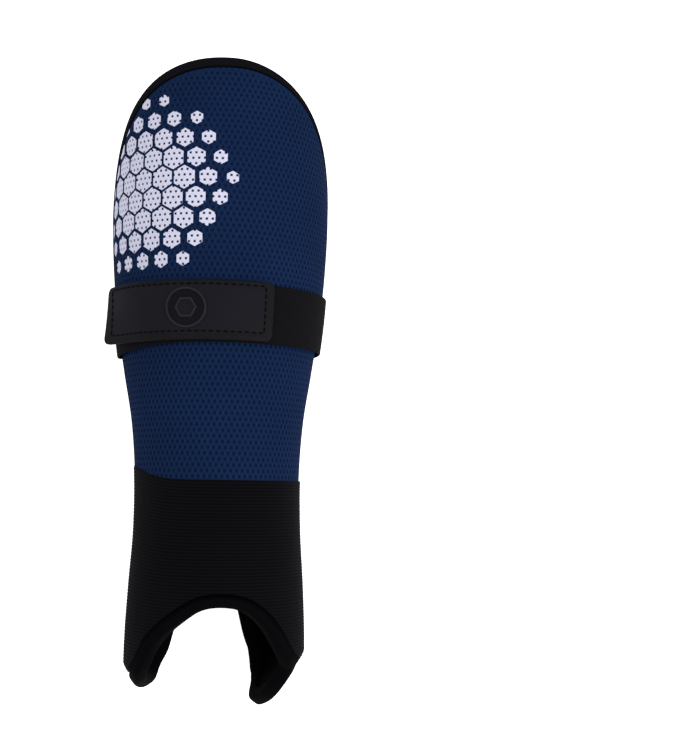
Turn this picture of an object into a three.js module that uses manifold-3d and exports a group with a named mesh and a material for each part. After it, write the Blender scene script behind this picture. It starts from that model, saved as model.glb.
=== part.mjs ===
// A field hockey shin guard lying face up on its strap and ankle sleeve: a padded shell bowed round
// the shin, the binding of its edge, an elastic calf strap with a rubber pull tab, and a padded sleeve.
// Millimetres, +Z up, +Y towards the knee. A place on the guard is an angle round the leg, 0 at the
// shin's crest and positive to the right, and a station along it, 0 just below the lobes.
import * as THREE from "three";
import { mergeVertices } from "three/addons/utils/BufferGeometryUtils.js";
import Module from "manifold-3d";

// Driving dimensions
const GUARD_LENGTH = 336;
const CLEARANCE = 0.3;

const SHELL_THICKNESS = 7;
const SHELL_WRAP = 102;
const DOME_STATION = 206;
const DOME_FULLNESS_LEFT = 2.3;
const DOME_FULLNESS_RIGHT = 1.9;
const BINDING_WIDTH = 6.4;
const BINDING_PROUD = 0.2;

const STRAP_STATION = 201.5;
const STRAP_WIDTH = 30;
const STRAP_THICKNESS = 1.4;
const STRAP_LIFT = BINDING_PROUD + 2 * CLEARANCE;
const STRAP_FLARE = 0.8;
const STRAP_DIP = 4;
const STRAP_DIP_POWER = 4;

const TAB_LENGTH = 100;
const TAB_WIDTH = 30;
const TAB_THICKNESS = 2.4;
const TAB_CORNER = 3.8;
const TAB_STATION = 202.3;
const TAB_START = 21.6;
const TAB_LEAVES = -60;
const TAB_TWIST = 10;
const TAB_RADIUS = 57.5;
const BADGE_RADIUS = 10.2;
const BADGE_RELIEF = 0.8;
const BADGE_RIM = 1.4;
const BADGE_ALONG = 43.6;
const BADGE_OFFSET = 1;

const SEAM_STATION = 118;
const SEAM_LIFT = 6.8;
const SEAM_LIFT_POWER = 6;
const SLEEVE_WALL = 1.5;
const SLEEVE_PROUD = 0.5;
const LINING_WALL = 5;
const LINING_GAP = 0.9;
const HEM_WIDTH = 6;
const HEM_PROUD = 0.4;
const HEM_GAP = 2;
const ANKLE_RADIUS = 43;

// How far the hem's elastic pulls the sleeve's sides in below a station, which is higher on the right
const PULL_STATION = 29.5;
const PULL_LEAN = 3;
const PULL_SLOPE = 0.78;
const PULL_EASE = 3;

// How full the back of a section is, how fast its walls turn to lie flat, how softly they meet the floor
const REAR_FULLNESS = 0.8;
const REAR_WALL_POWER = 4;
const SETTLE_RADIUS = 4;

// Facets: columns go across or around a piece, rows along it, sides round a bead
const SHELL_COLUMNS = 28;
const SHELL_ROWS = 20;
const BINDING_COLUMNS = 72;
const STRAP_COLUMNS = 72;
const STRAP_ROWS = 2;
const TAB_COLUMNS = 30;
const TAB_ROWS = 4;
const BADGE_SIDES = 24;
const SLEEVE_COLUMNS = 88;
const SLEEVE_ROWS = 8;
const HEM_COLUMNS = 80;
const BEAD_SIDES = 8;
const FINE_STEPS = 720;
const EDGE_PROBES = 6;
const DOME_STEPS = 40;
const TANGENT_STEP = 1e-3;

// The outer face: half width, height of the crest and of the widest line, and the back's drop below it
const SECTIONS = [
  { station: 0, halfWidth: 45.6, crest: 68, widest: 29, drop: 42 },
  { station: 40, halfWidth: 45.4, crest: 68, widest: 29, drop: 42 },
  { station: 66, halfWidth: 44.2, crest: 68, widest: 29, drop: 42 },
  { station: 92, halfWidth: 42.6, crest: 67, widest: 28, drop: 42 },
  { station: 120, halfWidth: 42.7, crest: 66, widest: 24, drop: 42 },
  { station: 150, halfWidth: 45.2, crest: 66, widest: 20, drop: 45 },
  { station: 176, halfWidth: 49.7, crest: 67, widest: 16, drop: 51 },
  { station: 206, halfWidth: 54.4, crest: 68, widest: 14, drop: 54 },
  { station: 236, halfWidth: 57.0, crest: 68, widest: 14, drop: 54 },
  { station: 262, halfWidth: 57.8, crest: 68, widest: 14, drop: 54 },
  { station: 300, halfWidth: 55.8, crest: 65, widest: 13, drop: 52 },
  { station: 336, halfWidth: 53.0, crest: 60, widest: 12, drop: 48 },
];

// The sleeve's lower edge: an arch over the instep, a lobe over each ankle bone and a notch at the heel
const LOWER_EDGE = [
  { angle: -180, station: 76 },
  { angle: -169, station: 61 },
  { angle: -159, station: 38.5 },
  { angle: -155, station: 28.5 },
  { angle: -145, station: 20 },
  { angle: -134, station: 15 },
  { angle: -125, station: 12.4 },
  { angle: -114, station: 11.4 },
  { angle: -100, station: 12.4 },
  { angle: -84, station: 15 },
  { angle: -70, station: 18.4 },
  { angle: -58, station: 25.2 },
  { angle: -48, station: 35.6 },
  { angle: -38, station: 42.8 },
  { angle: -29, station: 48 },
  { angle: -14, station: 55 },
  { angle: 0, station: 56.4 },
  { angle: 14, station: 54 },
  { angle: 28, station: 46 },
  { angle: 40, station: 35.2 },
  { angle: 48, station: 28.2 },
  { angle: 59, station: 23 },
  { angle: 67, station: 15.6 },
  { angle: 77, station: 9 },
  { angle: 90, station: 4.6 },
  { angle: 104, station: 2 },
  { angle: 115, station: 3.4 },
  { angle: 128, station: 9 },
  { angle: 147, station: 17.3 },
  { angle: 161, station: 33.6 },
  { angle: 170, station: 60 },
  { angle: 180, station: 76 },
];

// Colours and finishes of the pieces
const FINISHES = {
  shin_shell: { color: "#152a52", roughness: 0.85 },
  edge_binding: { color: "#15131a", roughness: 0.9 },
  calf_strap: { color: "#17171c", roughness: 0.8 },
  pull_tab: { color: "#1e1e24", roughness: 0.45 },
  ankle_sleeve: { color: "#0e0d12", roughness: 0.85 },
  ankle_lining: { color: "#0c0c10", roughness: 0.8 },
  arch_binding: { color: "#111015", roughness: 0.85 },
};

const wasm = await Module();
wasm.setup();

const radians = THREE.MathUtils.degToRad;
const degrees = THREE.MathUtils.radToDeg;
const lerp = THREE.MathUtils.lerp;

const sectionAt = new THREE.CubicInterpolant(
  SECTIONS.map((row) => row.station),
  SECTIONS.flatMap((row) => [row.halfWidth, row.crest, row.widest, row.drop]),
  4,
);
const lowerEdgeAt = new THREE.CubicInterpolant(
  LOWER_EDGE.map((row) => row.angle),
  LOWER_EDGE.map((row) => row.station),
  1,
);

// A height above a floor, eased onto it
function settle(height, floor) {
  const above = height - floor;
  if (above >= SETTLE_RADIUS) return height;
  const sunk = Math.max(above + SETTLE_RADIUS, 0);
  return floor + sunk ** 2 / (4 * SETTLE_RADIUS);
}

// How far a side of the sleeve is pulled in, from -1 at the left to 1 at the right
function pulledIn(station, side) {
  const below = Math.max(PULL_STATION - station + PULL_LEAN * side, 0);
  return PULL_SLOPE * (Math.hypot(below, PULL_EASE) - PULL_EASE);
}

// The point at a depth under the outer face, where cloth of that layer can sink to a floor and no lower
function skin(angle, station, depth, floor = -Infinity) {
  const [fullWidth, crest, widest, drop] = sectionAt.evaluate(station);
  const halfWidth = fullWidth - pulledIn(station, Math.sin(radians(angle)));
  const across = Math.abs(Math.sin(radians(angle)));
  const forward = Math.cos(radians(angle));
  const inFront = forward >= 0;
  const reach = inFront
    ? across * (halfWidth - depth)
    : across ** REAR_FULLNESS * halfWidth - across ** REAR_WALL_POWER * depth;
  const rise = (inFront ? crest - widest : drop) - depth;
  const z = settle(widest + forward * rise, floor);
  return new THREE.Vector3(Math.sign(angle) * reach, station, z);
}

// Moves every vertex of a geometry to its place, and closes it
function bend(geometry, place) {
  const spots = geometry.getAttribute("position");
  for (let i = 0; i < spots.count; i++) {
    const spot = place(new THREE.Vector3().fromBufferAttribute(spots, i));
    spots.setXYZ(i, spot.x, spot.y, spot.z);
  }
  geometry.deleteAttribute("normal");
  geometry.deleteAttribute("uv");
  const whole = mergeVertices(geometry);
  whole.computeVertexNormals();
  return whole;
}

// A closed wall round the leg: place gets the turn in degrees and the shares of its height and thickness
function tubeWall(rows, segments, place) {
  const outer = [];
  const inner = [];
  for (let row = 0; row <= rows; row++) {
    outer.push(new THREE.Vector2(2, row / rows));
    inner.unshift(new THREE.Vector2(1, row / rows));
  }
  const profile = [...outer, ...inner, outer[0]];
  return bend(new THREE.LatheGeometry(profile, segments), (spot) => {
    const turn = degrees(Math.atan2(spot.x, spot.z));
    return place(turn, spot.y, Math.hypot(spot.x, spot.z) - 1);
  });
}

// The point, outward normal and sideways direction at a share of a path of places on the guard
function frameOn(pathAt, share, depth, floorAt) {
  const spotAt = (s, d) => {
    const place = pathAt(s);
    return skin(place.angle, place.station, d, floorAt(d));
  };
  const spot = spotAt(share, depth);
  const tangent = spotAt(share + TANGENT_STEP, depth);
  tangent.sub(spotAt(share - TANGENT_STEP, depth)).normalize();
  const normal = spotAt(share, depth - 1).sub(spotAt(share, depth + 1));
  normal.addScaledVector(tangent, -normal.dot(tangent)).normalize();
  const side = tangent.clone().cross(normal);
  return { spot, normal, side };
}

// The station of the sleeve's top seam, which climbs a little at the left side
function seamAt(angle) {
  const left = Math.max(0, -Math.sin(radians(angle)));
  return SEAM_STATION + SEAM_LIFT * left ** SEAM_LIFT_POWER;
}

// The lower edge moved into the cloth by a distance
function edgeMovedIn(angle, distance) {
  let station = -Infinity;
  for (let i = -EDGE_PROBES; i <= EDGE_PROBES; i++) {
    const aside = i / EDGE_PROBES;
    const turned = angle + degrees((aside * distance) / ANKLE_RADIUS);
    const wrapped = THREE.MathUtils.euclideanModulo(turned + 180, 360) - 180;
    const lift = distance * Math.sqrt(1 - aside ** 2);
    station = Math.max(station, lowerEdgeAt.evaluate(wrapped)[0] + lift);
  }
  return station;
}

// Places spaced evenly along the lower edge moved in by a distance, from the crest round to the crest
function spacedAlongEdge(distance) {
  const line = [];
  for (let i = 0; i < FINE_STEPS; i++) {
    const angle = (360 * i) / FINE_STEPS;
    const turned = angle > 180 ? angle - 360 : angle;
    const spot = new THREE.Vector3();
    spot.setFromCylindricalCoords(ANKLE_RADIUS, radians(angle), edgeMovedIn(turned, distance));
    line.push(spot);
  }
  const curve = new THREE.CatmullRomCurve3(line, true);
  curve.arcLengthDivisions = FINE_STEPS;
  return (share) => {
    const spot = curve.getPointAt(THREE.MathUtils.euclideanModulo(share, 1));
    return { angle: degrees(Math.atan2(spot.x, spot.z)), station: spot.y };
  };
}

// The station of the round top, at a share of the way from the crest to a side edge
function domeAt(share, rise) {
  const fullness = share < 0 ? DOME_FULLNESS_LEFT : DOME_FULLNESS_RIGHT;
  return DOME_STATION + rise * (1 - Math.abs(share) ** fullness) ** (1 / fullness);
}

// The shell's outline as a path of places: up the left edge, over the round top and down the right edge
function shellOutline() {
  const points = [new THREE.Vector2(-SHELL_WRAP, seamAt(-SHELL_WRAP) + 2 * CLEARANCE)];
  for (let i = 0; i <= DOME_STEPS; i++) {
    const share = -Math.cos((Math.PI * i) / DOME_STEPS);
    points.push(new THREE.Vector2(SHELL_WRAP * share, domeAt(share, GUARD_LENGTH - DOME_STATION)));
  }
  points.push(new THREE.Vector2(SHELL_WRAP, seamAt(SHELL_WRAP) + 2 * CLEARANCE));
  const path = new THREE.CurvePath();
  for (let i = 1; i < points.length; i++) {
    path.add(new THREE.LineCurve(points[i - 1], points[i]));
  }
  return (share) => {
    const spot = path.getPointAt(THREE.MathUtils.clamp(share, 0, 1));
    return { angle: spot.x, station: spot.y };
  };
}

const HEM_THICKNESS = SLEEVE_WALL + LINING_GAP + LINING_WALL + 2 * HEM_PROUD;
const HEM_OUTER = -(SLEEVE_PROUD + HEM_PROUD);

function shinShell() {
  const inset = BINDING_WIDTH + 2 * CLEARANCE;
  const rise = GUARD_LENGTH - DOME_STATION - inset;
  const angleAt = (swing, station) => {
    const drop = sectionAt.evaluate(station)[3];
    return (SHELL_WRAP - degrees(inset / (drop - SHELL_THICKNESS / 2))) * Math.sin(swing);
  };
  return bend(new THREE.BoxGeometry(1, 1, 1, SHELL_COLUMNS, SHELL_ROWS, 1), (spot) => {
    const swing = Math.PI * spot.x;
    const bottom = seamAt(angleAt(swing, SEAM_STATION)) + CLEARANCE;
    const top = domeAt(Math.sin(swing), rise);
    const station = lerp(bottom, top, spot.y + 0.5);
    return skin(angleAt(swing, station), station, SHELL_THICKNESS * (0.5 - spot.z));
  });
}

function edgeBinding() {
  const pathAt = shellOutline();
  return bend(new THREE.CylinderGeometry(1, 1, 1, BEAD_SIDES, BINDING_COLUMNS), (spot) => {
    const frame = frameOn(pathAt, spot.y + 0.5, SHELL_THICKNESS / 2, () => -Infinity);
    frame.spot.addScaledVector(frame.side, (BINDING_WIDTH * (1 + spot.x)) / 2);
    const out = spot.z * (SHELL_THICKNESS / 2 + BINDING_PROUD);
    return frame.spot.addScaledVector(frame.normal, out);
  });
}

// The depth of a spot out from the strap's inner face, which stands off the calf below its top edge
function strapDepth(station, out) {
  const fromTop = (STRAP_STATION + STRAP_WIDTH / 2 - station) / STRAP_WIDTH;
  return -(STRAP_LIFT + STRAP_FLARE * THREE.MathUtils.clamp(fromTop, 0, 1) + out);
}

// The strap hangs a little lower at the left side
function calfStrap() {
  const first = STRAP_STATION - STRAP_WIDTH / 2;
  return tubeWall(STRAP_ROWS, STRAP_COLUMNS, (turn, share, outward) => {
    const left = Math.max(0, -Math.sin(radians(turn)));
    const level = first + STRAP_WIDTH * share;
    const depth = strapDepth(level, STRAP_THICKNESS * outward);
    return skin(turn, level - STRAP_DIP * left ** STRAP_DIP_POWER, depth, STRAP_THICKNESS * (1 - outward));
  });
}

// A spot on the tab: along from its right end, across its width, and out from the strap's outer face
function tabSpot(along, across, out) {
  const angle = TAB_START - degrees(along / TAB_RADIUS);
  const leaves = TAB_LEAVES - (TAB_TWIST * across) / (TAB_WIDTH / 2);
  const held = Math.max(angle, leaves);
  const station = TAB_STATION + across;
  const depth = strapDepth(station, STRAP_THICKNESS + CLEARANCE + out);
  const spot = skin(held, station, depth);
  const leaving = skin(held - 1, station, depth).sub(spot).normalize();
  return spot.addScaledVector(leaving, radians(held - angle) * TAB_RADIUS);
}

function manifoldOf(geometry) {
  const vertProperties = new Float32Array(geometry.getAttribute("position").array);
  const triVerts = new Uint32Array(geometry.index.array);
  return new wasm.Manifold(new wasm.Mesh({ numProp: 3, vertProperties, triVerts }));
}

function geometryOf(manifold) {
  const mesh = manifold.getMesh();
  const geometry = new THREE.BufferGeometry();
  geometry.setAttribute("position", new THREE.BufferAttribute(mesh.vertProperties, 3));
  geometry.setIndex(new THREE.BufferAttribute(mesh.triVerts, 1));
  geometry.computeVertexNormals();
  return geometry;
}

function pullTab() {
  const plate = bend(new THREE.BoxGeometry(1, 1, 1, TAB_COLUMNS, TAB_ROWS, 1), (spot) => {
    const along = (TAB_LENGTH * (1 - Math.sin(Math.PI * spot.x))) / 2;
    const fromEnd = Math.min(along, TAB_LENGTH - along);
    const missing = Math.max(TAB_CORNER - fromEnd, 0);
    const half = TAB_WIDTH / 2 - TAB_CORNER + Math.sqrt(TAB_CORNER ** 2 - missing ** 2);
    return tabSpot(along, 2 * half * spot.y, TAB_THICKNESS * (spot.z + 0.5));
  });
  const rim = BADGE_RADIUS - BADGE_RIM;
  const profile = [
    new THREE.Vector2(0, -BADGE_RELIEF),
    new THREE.Vector2(BADGE_RADIUS, -BADGE_RELIEF),
    new THREE.Vector2(BADGE_RADIUS, BADGE_RELIEF),
    new THREE.Vector2(rim, BADGE_RELIEF),
    new THREE.Vector2(rim, BADGE_RELIEF / 2),
    new THREE.Vector2(rim / 2, BADGE_RELIEF / 2),
    new THREE.Vector2(0, BADGE_RELIEF / 2),
  ];
  const badge = bend(new THREE.LatheGeometry(profile, BADGE_SIDES), (spot) =>
    tabSpot(BADGE_ALONG - spot.x, BADGE_OFFSET - spot.z, TAB_THICKNESS + spot.y),
  );
  return geometryOf(manifoldOf(plate).add(manifoldOf(badge)));
}

// A wall of the ankle from a depth inwards, from the hem up to the seam
function ankleWall(outerDepth, wall) {
  const columnAt = spacedAlongEdge(HEM_WIDTH + HEM_GAP);
  return tubeWall(SLEEVE_ROWS, SLEEVE_COLUMNS, (turn, share, outward) => {
    const { angle, station } = columnAt(turn / 360);
    const depth = outerDepth + wall * (1 - outward);
    return skin(angle, lerp(station, seamAt(angle), share), depth, depth + SLEEVE_PROUD);
  });
}

function archBinding() {
  const pathAt = spacedAlongEdge(HEM_WIDTH / 2);
  const section = [];
  for (let i = 0; i <= BEAD_SIDES; i++) {
    const turn = (2 * Math.PI * i) / BEAD_SIDES;
    section.push(new THREE.Vector2(2 + Math.cos(turn), Math.sin(turn)));
  }
  return bend(new THREE.LatheGeometry(section, HEM_COLUMNS), (spot) => {
    const share = Math.atan2(spot.x, spot.z) / (2 * Math.PI);
    const frame = frameOn(pathAt, share, HEM_OUTER + HEM_THICKNESS / 2, (depth) => depth - HEM_OUTER);
    frame.spot.addScaledVector(frame.side, (-spot.y * HEM_WIDTH) / 2);
    const out = ((Math.hypot(spot.x, spot.z) - 2) * HEM_THICKNESS) / 2;
    return frame.spot.addScaledVector(frame.normal, out);
  });
}

const pieces = {
  shin_shell: shinShell(),
  edge_binding: edgeBinding(),
  calf_strap: calfStrap(),
  pull_tab: pullTab(),
  ankle_sleeve: ankleWall(-SLEEVE_PROUD, SLEEVE_WALL),
  ankle_lining: ankleWall(SLEEVE_WALL + LINING_GAP - SLEEVE_PROUD, LINING_WALL),
  arch_binding: archBinding(),
};

const guard = new THREE.Group();
for (const [name, geometry] of Object.entries(pieces)) {
  const mesh = new THREE.Mesh(geometry, new THREE.MeshStandardMaterial(FINISHES[name]));
  mesh.name = name;
  guard.add(mesh);
}

// The origin is on the floor, under the middle of the whole guard
const box = new THREE.Box3().setFromObject(guard);
const middle = box.getCenter(new THREE.Vector3());
guard.position.set(-middle.x, -middle.y, -box.min.z);

const part = new THREE.Group();
part.add(guard);

export default part;
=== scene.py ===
"""A field hockey shin guard lying face up: each piece is cut flat in millimetres and bent round the leg."""
import bisect
import functools
import itertools
import math

import bmesh
import bpy
from mathutils import Matrix, Vector


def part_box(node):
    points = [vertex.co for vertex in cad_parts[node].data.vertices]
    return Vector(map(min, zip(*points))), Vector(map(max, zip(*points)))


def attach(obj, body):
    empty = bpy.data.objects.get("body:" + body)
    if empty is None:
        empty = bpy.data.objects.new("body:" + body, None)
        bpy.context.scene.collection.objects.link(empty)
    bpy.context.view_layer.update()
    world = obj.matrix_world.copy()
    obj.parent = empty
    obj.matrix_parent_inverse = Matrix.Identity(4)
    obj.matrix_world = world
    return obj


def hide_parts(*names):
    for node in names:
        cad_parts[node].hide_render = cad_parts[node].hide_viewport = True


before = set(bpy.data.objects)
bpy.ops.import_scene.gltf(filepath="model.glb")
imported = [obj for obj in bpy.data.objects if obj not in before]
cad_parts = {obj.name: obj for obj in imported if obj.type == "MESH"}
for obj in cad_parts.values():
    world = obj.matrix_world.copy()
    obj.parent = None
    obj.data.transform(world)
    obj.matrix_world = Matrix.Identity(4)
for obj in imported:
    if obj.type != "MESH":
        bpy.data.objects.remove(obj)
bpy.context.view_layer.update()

MM = 0.001

# Sizes of the guard in millimetres. A station is measured along the guard towards the knee, from just
# below the lobes, and an angle in degrees round the leg from the shin's crest, positive to the right.
GUARD_LENGTH = 336
SHELL_THICKNESS = 7
SHELL_WRAP = 102
DOME_STATION = 206
DOME_FULLNESS_LEFT = 2.3
DOME_FULLNESS_RIGHT = 1.9

# The mesh cover is cut in faces, a few to each pitch of its holes, and some of these are the holes. Holes
# keep clear of the tape, and the cover's edge is tucked in under the tape and the sleeve.
HOLE_PITCH_ACROSS = 2.9
HOLE_PITCH_ALONG = 5.7
FACES_ACROSS = 2
FACES_ALONG = 4
HOLE_FACES = ((0, 0), (1, 2))
STEP_ACROSS = HOLE_PITCH_ACROSS / FACES_ACROSS
STEP_ALONG = HOLE_PITCH_ALONG / FACES_ALONG
HOLE_RIM = 0.26
HOLE_DEPTH = 0.35
HOLE_TAPE_GAP = 2.3
COVER_TUCK = 3.3
COVER_UNDER_SLEEVE = 1

TAPE_WIDTH = 7.2
TAPE_WIDTH_RIGHT = 4.4
TAPE_NARROW_ANGLE = 50
TAPE_PROUD = 0.4
TAPE_PULL = 1.3
TAPE_SQUARENESS = 4

STRAP_STATION = 201.5
STRAP_WIDTH = 30
STRAP_THICKNESS = 1.4
STRAP_LIFT = 0.8
STRAP_FLARE = 0.8
STRAP_DIP = 4
STRAP_DIP_POWER = 4
STRAP_RIB_PITCH = 1.2
STRAP_RIB_HEIGHT = 0.2

TAB_LENGTH = 100
TAB_WIDTH = 30
TAB_THICKNESS = 2.4
TAB_CORNER = 3.8
TAB_STATION = 202.3
TAB_START = 21.6
TAB_LEAVES = -60
TAB_TWIST = 10
TAB_RADIUS = 57.5
TAB_GAP = 0.3
TAB_EDGE_ROUND = 0.8
PANEL_HALF = (44.6, 11.8)
PANEL_CENTRE = (0.8, 1.1)
PANEL_CORNER = 1.7
GROOVE_WIDTH = 1.3
GROOVE_DEPTH = 0.3
PANEL_DROP = 0.1
STITCH_LENGTH = 2.5
STITCH_GAP = 1.1
STITCH_THICKNESS = 0.8
STITCH_LIFT = 0.2
BADGE_RADIUS = 10.2
BADGE_ALONG = 43.6
BADGE_OFFSET = 1
BADGE_RELIEF = 0.8
BADGE_RIM = 1.2
BADGE_RIM_ROUND = 0.25
BADGE_SUNK = 0.3
RING_WALL = 0.4
RING_DEPTH = 0.48
RING_BORDER = 1.2
BOSS_RADIUS = 5.6
BOSS_RELIEF = 0.72
BOSS_RIM = 1
BOSS_RIM_ROUND = 0.2
BOSS_WALL = 0.5
BOSS_DEPTH = 0.35

SEAM_STATION = 118
SEAM_LIFT = 6.8
SEAM_LIFT_POWER = 6
SEAM_LIFT_FADES = 90
SLEEVE_WALL = 1.5
SLEEVE_PROUD = 0.9
SLEEVE_HEIGHT = 122
SLEEVE_RIB_PITCH = 1.6
SLEEVE_RIB_HEIGHT = 0.22
LINING_WALL = 5
LINING_GAP = 0.6
HEM_WIDTH = 8
HEM_PROUD = 0.3
HEM_TUCK = 1
HEM_SQUARENESS = 3.4
ANKLE_RADIUS = 43

# Below this station, which leans up towards the right, the hem draws the sleeve's sides in, gently at first
PULL_STATION = 29.5
PULL_LEAN = 3
PULL_SLOPE = 0.78
PULL_EASE = 3

# The elastic's length as cut is this share of its length on the guard
ELASTIC_RELAXED = 0.95

# How full the back of a section is, how fast its walls turn to lie flat, how softly they meet the floor
REAR_FULLNESS = 0.8
REAR_WALL_POWER = 4
SETTLE_RADIUS = 4

# Fineness: columns go round or along a piece, rows are counted for each rib
LEG_COLUMNS = 180
ROWS_PER_RIB = 4
LINING_STEP = 2.5
BEAD_SIDES = 24
BEAD_STEP = 0.6
TAPE_SIDE_STEP = 4
EASING_PASSES = 4
FINE_STEPS = 360
EDGE_PROBES = 12
HALF_ROUND_STEPS = 6
ROUND_STEPS = 3
TAB_STEP = 2.5
TAB_CORNER_STEPS = 6
TAB_EDGE_STEPS = 4
BADGE_SIDES = 64
BOSS_SIDES = 6
STITCH_SIDES = 10
STITCH_RINGS = 8

# Tolerances: the step that feels out a direction, in mm or degrees, how near a cut takes up a vertex, the
# weld in metres, the share of a full face that is whole, how far a front normal rises, how sharp an edge is
PROBE = 1
CUT_SNAP = 0.01
WELD = 1e-6
WHOLE_FACE = 0.99
FRONT_RISE = 0.5
SHARP_ANGLE = 42

# The outer face by station: half width, height of the crest and of the widest line, the back's drop below it
SECTIONS = [
    (0, 45.6, 68, 29, 42),
    (40, 45.4, 68, 29, 42),
    (66, 44.2, 68, 29, 42),
    (92, 42.6, 67, 28, 42),
    (120, 42.7, 66, 24, 42),
    (150, 45.2, 66, 20, 45),
    (176, 49.7, 67, 16, 51),
    (206, 54.4, 68, 14, 54),
    (236, 57.0, 68, 14, 54),
    (262, 57.8, 68, 14, 54),
    (300, 55.8, 65, 13, 52),
    (336, 53.0, 60, 12, 48),
]

# The sleeve's lower edge, angle and station: an arch over the instep, two lobes and a notch at the heel
LOWER_EDGE = [
    (-180, 76), (-169, 61), (-159, 38.5), (-155, 28.5), (-145, 20), (-134, 15), (-125, 12.4), (-114, 11.4),
    (-100, 12.4), (-84, 15), (-70, 18.4), (-58, 25.2), (-48, 35.6), (-38, 42.8), (-29, 48), (-14, 55),
    (0, 56.4), (14, 54), (28, 46), (40, 35.2), (48, 28.2), (59, 23), (67, 15.6), (77, 9),
    (90, 4.6), (104, 2), (115, 3.4), (128, 9), (147, 17.3), (161, 33.6), (170, 60), (180, 76),
]

# The camera over the guard: its place and turns, and its lens on a sensor of 36 mm
CAMERA_PLACE = (-62.6, 118.1, 664.8)
CAMERA_TURNS = (5.18, -11.23, 1.81)
CAMERA_LENS = 58.2

# The printed hexagons fill a round patch of the cover: they are largest at its middle and shrink to its rim
HEX_PITCH = 12
HEX_LARGEST = 5.4
HEX_SMALLEST = 2.8
HEX_CENTRE = (-46, 266, 0)
HEX_FULL_REACH = 24
HEX_REACH = 47.5

# The light of the room, which looks white itself, and the glow of the table; the table's half width and the
# soft boxes' places and sizes in metres, and their power in watts
ROOM_LIGHT = 0.55
TABLE_GLOW = 1
TABLE_HALF = 4
SOFT_BOXES = [
    ("key_box", (0.7, -0.2, 1.0), 0.6, 7),
    ("fill_box", (-0.8, 0.3, 0.9), 0.6, 2.5),
]

# The finishes of the shell and of the tab's rubber, in the order of their materials; the tab's sunk ring is
# darkened with painted shade and its raised rims lightened with a painted highlight
COVER, FOAM, BACKING = range(3)
PANEL, RECESS_PAINTED_SHADE, BORDER, RUBBED_WITH_PAINTED_HIGHLIGHT = range(4)

# The map of flat places, and the sizes in millimetres of the patterns that follow it. Threads, nap, cells and
# dimples finer than a pixel are drawn as coarse as they need to show.
FLAT_MAP = "flat_mm"
YARN = 1.2
DYE_PATCH = 40
FOAM_CELL = 0.4
NAP = 0.8
NAP_STRETCH = 4
TAPE_COURSE = 0.9
HEM_COURSE = 1.2
KNIT_SLANT = 30
KNIT_FUZZ = 0.5
STRAP_PICK = 0.8
SLEEVE_PICK = 1
ELASTIC_FUZZ = 0.6
ELASTIC_WEAR = 25
DIMPLE = 0.6
BLOOM = 18
THREAD_PLY = 0.45

# Places round the bead of the tape and of the hem: painted black shade along the seam up to the first, none
# from the second
TAPE_SEAM_SHADE = (5.4, 6.8)
HEM_SEAM_SHADE = (9.4, 8)

# How far the roughness of high and low places lies from the mean
DULLNESS_SPREAD = 0.08

# A wave texture of scale 1 repeats after this length
WAVE_LENGTH = math.pi / 10

# The sockets of a mix, by what it mixes
FACTOR, VECTOR_A, VECTOR_B, COLOUR_A, COLOUR_B = 0, 4, 5, 6, 7


def smooth_through(places, values):
    """A curve through the values whose slope at each place is the mean of the slopes on its two sides."""
    steps = [(b - a) / (q - p) for a, b, p, q in zip(values, values[1:], places, places[1:])]
    slopes = [steps[0], *[(a + b) / 2 for a, b in zip(steps, steps[1:])], steps[-1]]

    def read(place):
        place = min(max(place, places[0]), places[-1])
        i = min(bisect.bisect_right(places, place) - 1, len(places) - 2)
        span = places[i + 1] - places[i]
        share = (place - places[i]) / span
        rest = 1 - share
        bulge = span * share * rest * (slopes[i] * rest - slopes[i + 1] * share)
        return values[i] * (1 + 2 * share) * rest**2 + values[i + 1] * (3 - 2 * share) * share**2 + bulge

    return read


STATIONS, *SECTION_COLUMNS = zip(*SECTIONS)
SECTION_LINES = [smooth_through(STATIONS, column) for column in SECTION_COLUMNS]
lower_edge_at = functools.cache(smooth_through(*zip(*LOWER_EDGE)))

# The binding's box ties the guard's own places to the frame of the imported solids
binding_low, binding_high = (Vector(corner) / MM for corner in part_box("edge_binding"))
GUARD_ORIGIN = Vector(((binding_low.x + binding_high.x) / 2, binding_high.y - GUARD_LENGTH, 0))


def to_frame(spot):
    """A spot of the guard in the frame of the solids, in metres."""
    return (spot + GUARD_ORIGIN) * MM


@functools.cache
def section_at(station):
    """The half width, crest, widest line and drop at a station."""
    return [line(station) for line in SECTION_LINES]


def settle(height, floor):
    """A height above a floor, eased onto it."""
    above = height - floor
    if above >= SETTLE_RADIUS:
        return height
    return floor + max(above + SETTLE_RADIUS, 0) ** 2 / (4 * SETTLE_RADIUS)


def wrapped(angle):
    """An angle brought within half a turn of the crest."""
    return (angle + 180) % 360 - 180


def pulled_in(station, side):
    """How far the hem's elastic pulls a side of the sleeve in, from -1 at the left to 1 at the right."""
    below = max(PULL_STATION - station + PULL_LEAN * side, 0)
    return PULL_SLOPE * (math.hypot(below, PULL_EASE) - PULL_EASE)


def skin(angle, station, depth, floor=-math.inf):
    """The point at a depth under the outer face, where cloth of that layer sinks to a floor and no lower."""
    half_width, crest, widest, drop = section_at(station)
    turn = math.radians(wrapped(angle))
    half_width -= pulled_in(station, math.sin(turn))
    across, forward = abs(math.sin(turn)), math.cos(turn)
    if forward >= 0:
        reach = across * (half_width - depth)
        rise = crest - widest - depth
    else:
        reach = across**REAR_FULLNESS * half_width - across**REAR_WALL_POWER * depth
        rise = drop - depth
    height = settle(widest + forward * rise, floor)
    return Vector((math.copysign(reach, turn), station, height))


def leaning_left(angle, power):
    """0 round the leg but for its left side, where it rises to 1."""
    return max(0, -math.sin(math.radians(angle))) ** power


@functools.cache
def seam_lift(angle):
    """How far the sleeve's top seam climbs, which it does at the left side."""
    return SEAM_LIFT * leaning_left(angle, SEAM_LIFT_POWER)


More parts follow.
